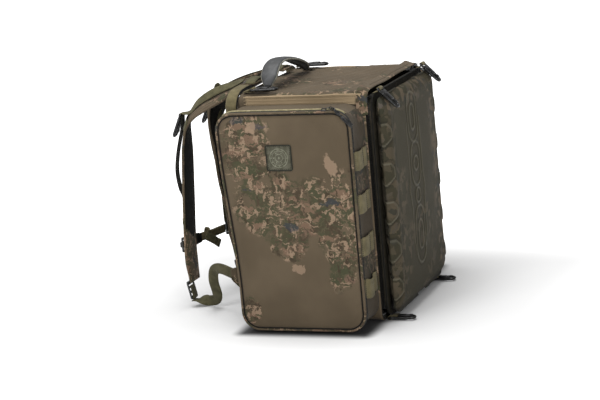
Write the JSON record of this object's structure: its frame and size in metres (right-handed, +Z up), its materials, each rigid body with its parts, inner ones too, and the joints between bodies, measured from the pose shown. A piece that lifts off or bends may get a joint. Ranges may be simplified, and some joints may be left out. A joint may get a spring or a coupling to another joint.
{
  "type": "tackle backpack",
  "caption": "Boxy tackle backpack with a moulded zip-round front door, zipped side pockets, webbing loops, snap clips, carry handle and padded straps with a chest strap.",
  "frame": {"origin": "centre of the main bag's flat base", "axes": "+Z up when the pack stands on its base; -Y out of the moulded front, +Y towards the wearer's back, -X the wearer's left"},
  "size_m": [0.5544, 0.5573, 0.542],
  "materials": {
    "camo_fabric": "coated woven polyester, brown-olive leaf print, matt",
    "moulded_eva": "fabric-faced moulded foam, matt",
    "olive_webbing": "ribbed woven webbing",
    "black_plastic": "moulded acetal, satin",
    "grey_plastic": "moulded acetal, satin",
    "grip_rubber": "moulded soft grip, satin",
    "spacer_mesh": "black spacer mesh over foam",
    "stiffener_board": "flat sheet, hidden inside",
    "zip_tape": "woven tape with coil teeth",
    "woven_patch": "woven badge with a stitched edge"
  },
  "bodies": {
    "pack": {"main_shell": "camo_fabric", "base_board": "stiffener_board", "frame_sheet": "stiffener_board", "back_pad": "spacer_mesh", "lumbar_pad": "spacer_mesh", "main_zip_tape": "zip_tape", "clip_tab_rear_left": "olive_webbing", "clip_tab_rear_right": "olive_webbing", "load_lifter_left": "olive_webbing", "strap_wing_left": "camo_fabric", "adjuster_webbing_left": "olive_webbing", "pocket_shell_left": "camo_fabric", "load_lifter_right": "olive_webbing", "strap_wing_right": "camo_fabric", "adjuster_webbing_right": "olive_webbing", "pocket_shell_right": "camo_fabric", "webbing_loop_left_1": "olive_webbing", "webbing_loop_left_2": "olive_webbing", "webbing_loop_left_3": "olive_webbing", "webbing_loop_left_4": "olive_webbing", "webbing_loop_right_1": "olive_webbing", "webbing_loop_right_2": "olive_webbing", "webbing_loop_right_3": "olive_webbing", "webbing_loop_right_4": "olive_webbing"},
    "front_door": {"front_panel": "moulded_eva", "clip_tab_front_left": "olive_webbing", "clip_tab_front_right": "olive_webbing", "clip_tab_base_left": "olive_webbing", "clip_tab_base_right": "olive_webbing"},
    "handle": {"carry_handle": "grip_rubber"},
    "buckle_release": {"sternum_buckle_male": "black_plastic"},
    "main_slider_left": {"main_zip_slider_left": "black_plastic"},
    "main_pull_left": {"main_zip_pull_left": "black_plastic"},
    "pocket_door_left": {"pocket_lid_left": "camo_fabric", "pocket_patch": "woven_patch"},
    "pocket_slider_left": {"pocket_zip_slider_left": "black_plastic"},
    "pocket_pull_left": {"pocket_zip_pull_left": "black_plastic"},
    "strap_left": {"shoulder_strap_left": "camo_fabric", "strap_webbing_left": "olive_webbing"},
    "sternum_left": {"sternum_slider_left": "grey_plastic", "sternum_buckle_female": "black_plastic"},
    "lock_left": {"ladder_lock_left": "grey_plastic"},
    "rear_clip_left": {"clip_rear_left": "black_plastic"},
    "front_clip_left": {"clip_front_left": "black_plastic"},
    "base_clip_left": {"clip_base_left": "black_plastic"},
    "strap_clip_left": {"clip_strap_left": "black_plastic"},
    "main_slider_right": {"main_zip_slider_right": "black_plastic"},
    "main_pull_right": {"main_zip_pull_right": "black_plastic"},
    "pocket_door_right": {"pocket_lid_right": "camo_fabric"},
    "pocket_slider_right": {"pocket_zip_slider_right": "black_plastic"},
    "pocket_pull_right": {"pocket_zip_pull_right": "black_plastic"},
    "strap_right": {"shoulder_strap_right": "camo_fabric", "strap_webbing_right": "olive_webbing"},
    "sternum_right": {"sternum_slider_right": "grey_plastic", "sternum_webbing": "olive_webbing"},
    "lock_right": {"ladder_lock_right": "grey_plastic"},
    "rear_clip_right": {"clip_rear_right": "black_plastic"},
    "front_clip_right": {"clip_front_right": "black_plastic"},
    "base_clip_right": {"clip_base_right": "black_plastic"},
    "strap_clip_right": {"clip_strap_right": "black_plastic"}
  },
  "joints": [
    {"name": "front_door_open", "type": "hinge", "parent": "pack", "child": "front_door", "pos_m": [0, -0.149, 0.004], "axis": [1, 0, 0], "range_deg": [0, 90]},
    {"name": "carry_handle_swing", "type": "hinge", "parent": "pack", "child": "handle", "pos_m": [0, 0.092, 0.498], "axis": [1, 0, 0], "range_deg": [-10, 60]},
    {"name": "main_zip_slide_left", "type": "slide", "parent": "pack", "child": "main_slider_left", "axis": [-1, 0, 0], "range_m": [0, 0.25]},
    {"name": "main_zip_pull_left_flip", "type": "hinge", "parent": "main_slider_left", "child": "main_pull_left", "pos_m": [0.12, -0.149, 0.49], "axis": [0, 1, 0], "range_deg": [0, 100]},
    {"name": "pocket_left_open", "type": "hinge", "parent": "pack", "child": "pocket_door_left", "pos_m": [-0.272, 0, 0.007], "axis": [0, -1, 0], "range_deg": [0, 85]},
    {"name": "pocket_zip_slide_left", "type": "slide", "parent": "pocket_door_left", "child": "pocket_slider_left", "axis": [0, 1, 0], "range_m": [0, 0.175]},
    {"name": "pocket_zip_pull_left_swing", "type": "hinge", "parent": "pocket_slider_left", "child": "pocket_pull_left", "pos_m": [-0.265, -0.0925, 0.4748], "axis": [-1, 0, 0], "range_deg": [0, 80]},
    {"name": "strap_left_lift", "type": "hinge", "parent": "pack", "child": "strap_left", "pos_m": [-0.08, 0.12, 0.4975], "axis": [1, 0, 0], "range_deg": [0, 35]},
    {"name": "sternum_left_height", "type": "slide", "parent": "strap_left", "child": "sternum_left", "axis": [0, 0.05, 0.9987], "range_m": [0, 0.03]},
    {"name": "ladder_lock_left_tilt", "type": "hinge", "parent": "strap_left", "child": "lock_left", "pos_m": [-0.08, 0.3375, 0.056], "axis": [1, 0, 0], "range_deg": [-10, 25]},
    {"name": "clip_rear_left_swing", "type": "hinge", "parent": "pack", "child": "rear_clip_left", "pos_m": [-0.158, 0.109, 0.4989], "axis": [-1, 0, 0], "range_deg": [0, 120]},
    {"name": "clip_front_left_swing", "type": "hinge", "parent": "front_door", "child": "front_clip_left", "pos_m": [-0.151, -0.168, 0.4925], "axis": [-1, 0, 0], "range_deg": [0, 110]},
    {"name": "clip_base_left_swing", "type": "hinge", "parent": "front_door", "child": "base_clip_left", "pos_m": [-0.152, -0.153, 0.0052], "axis": [1, 0, 0], "range_deg": [0, 60]},
    {"name": "clip_strap_left_swing", "type": "hinge", "parent": "strap_left", "child": "strap_clip_left", "pos_m": [-0.08, 0.3145, 0.435], "axis": [1, 0, 0], "range_deg": [0, 90]},
    {"name": "main_zip_slide_right", "type": "slide", "parent": "pack", "child": "main_slider_right", "axis": [1, 0, 0], "range_m": [0, 0.018]},
    {"name": "main_zip_pull_right_flip", "type": "hinge", "parent": "main_slider_right", "child": "main_pull_right", "pos_m": [0.138, -0.149, 0.49], "axis": [0, -1, 0], "range_deg": [0, 100]},
    {"name": "pocket_right_open", "type": "hinge", "parent": "pack", "child": "pocket_door_right", "pos_m": [0.272, 0, 0.007], "axis": [0, 1, 0], "range_deg": [0, 85]},
    {"name": "pocket_zip_slide_right", "type": "slide", "parent": "pocket_door_right", "child": "pocket_slider_right", "axis": [0, 1, 0], "range_m": [0, 0.175]},
    {"name": "pocket_zip_pull_right_swing", "type": "hinge", "parent": "pocket_slider_right", "child": "pocket_pull_right", "pos_m": [0.265, -0.0925, 0.4748], "axis": [-1, 0, 0], "range_deg": [0, 80]},
    {"name": "strap_right_lift", "type": "hinge", "parent": "pack", "child": "strap_right", "pos_m": [0.08, 0.12, 0.4975], "axis": [1, 0, 0], "range_deg": [0, 35]},
    {"name": "sternum_right_height", "type": "slide", "parent": "strap_right", "child": "sternum_right", "axis": [0, 0.05, 0.9987], "range_m": [0, 0.03]},
    {"name": "ladder_lock_right_tilt", "type": "hinge", "parent": "strap_right", "child": "lock_right", "pos_m": [0.08, 0.287, 0.064], "axis": [1, 0, 0], "range_deg": [-10, 25]},
    {"name": "clip_rear_right_swing", "type": "hinge", "parent": "pack", "child": "rear_clip_right", "pos_m": [0.158, 0.109, 0.4989], "axis": [-1, 0, 0], "range_deg": [0, 120]},
    {"name": "clip_front_right_swing", "type": "hinge", "parent": "front_door", "child": "front_clip_right", "pos_m": [0.151, -0.168, 0.4925], "axis": [-1, 0, 0], "range_deg": [0, 110]},
    {"name": "clip_base_right_swing", "type": "hinge", "parent": "front_door", "child": "base_clip_right", "pos_m": [0.152, -0.153, 0.0052], "axis": [1, 0, 0], "range_deg": [0, 60]},
    {"name": "clip_strap_right_swing", "type": "hinge", "parent": "strap_right", "child": "strap_clip_right", "pos_m": [0.08, 0.3145, 0.435], "axis": [1, 0, 0], "range_deg": [0, 90]},
    {"name": "sternum_buckle_release", "type": "slide", "parent": "sternum_right", "child": "buckle_release", "axis": [0.9586, -0.2846, 0], "range_m": [0, 0.0115]}
  ],
  "couplings": [
    {"joint": "strap_right_lift", "follows": "strap_left_lift", "ratio": 1},
    {"joint": "sternum_right_height", "follows": "sternum_left_height", "ratio": 1}
  ]
}
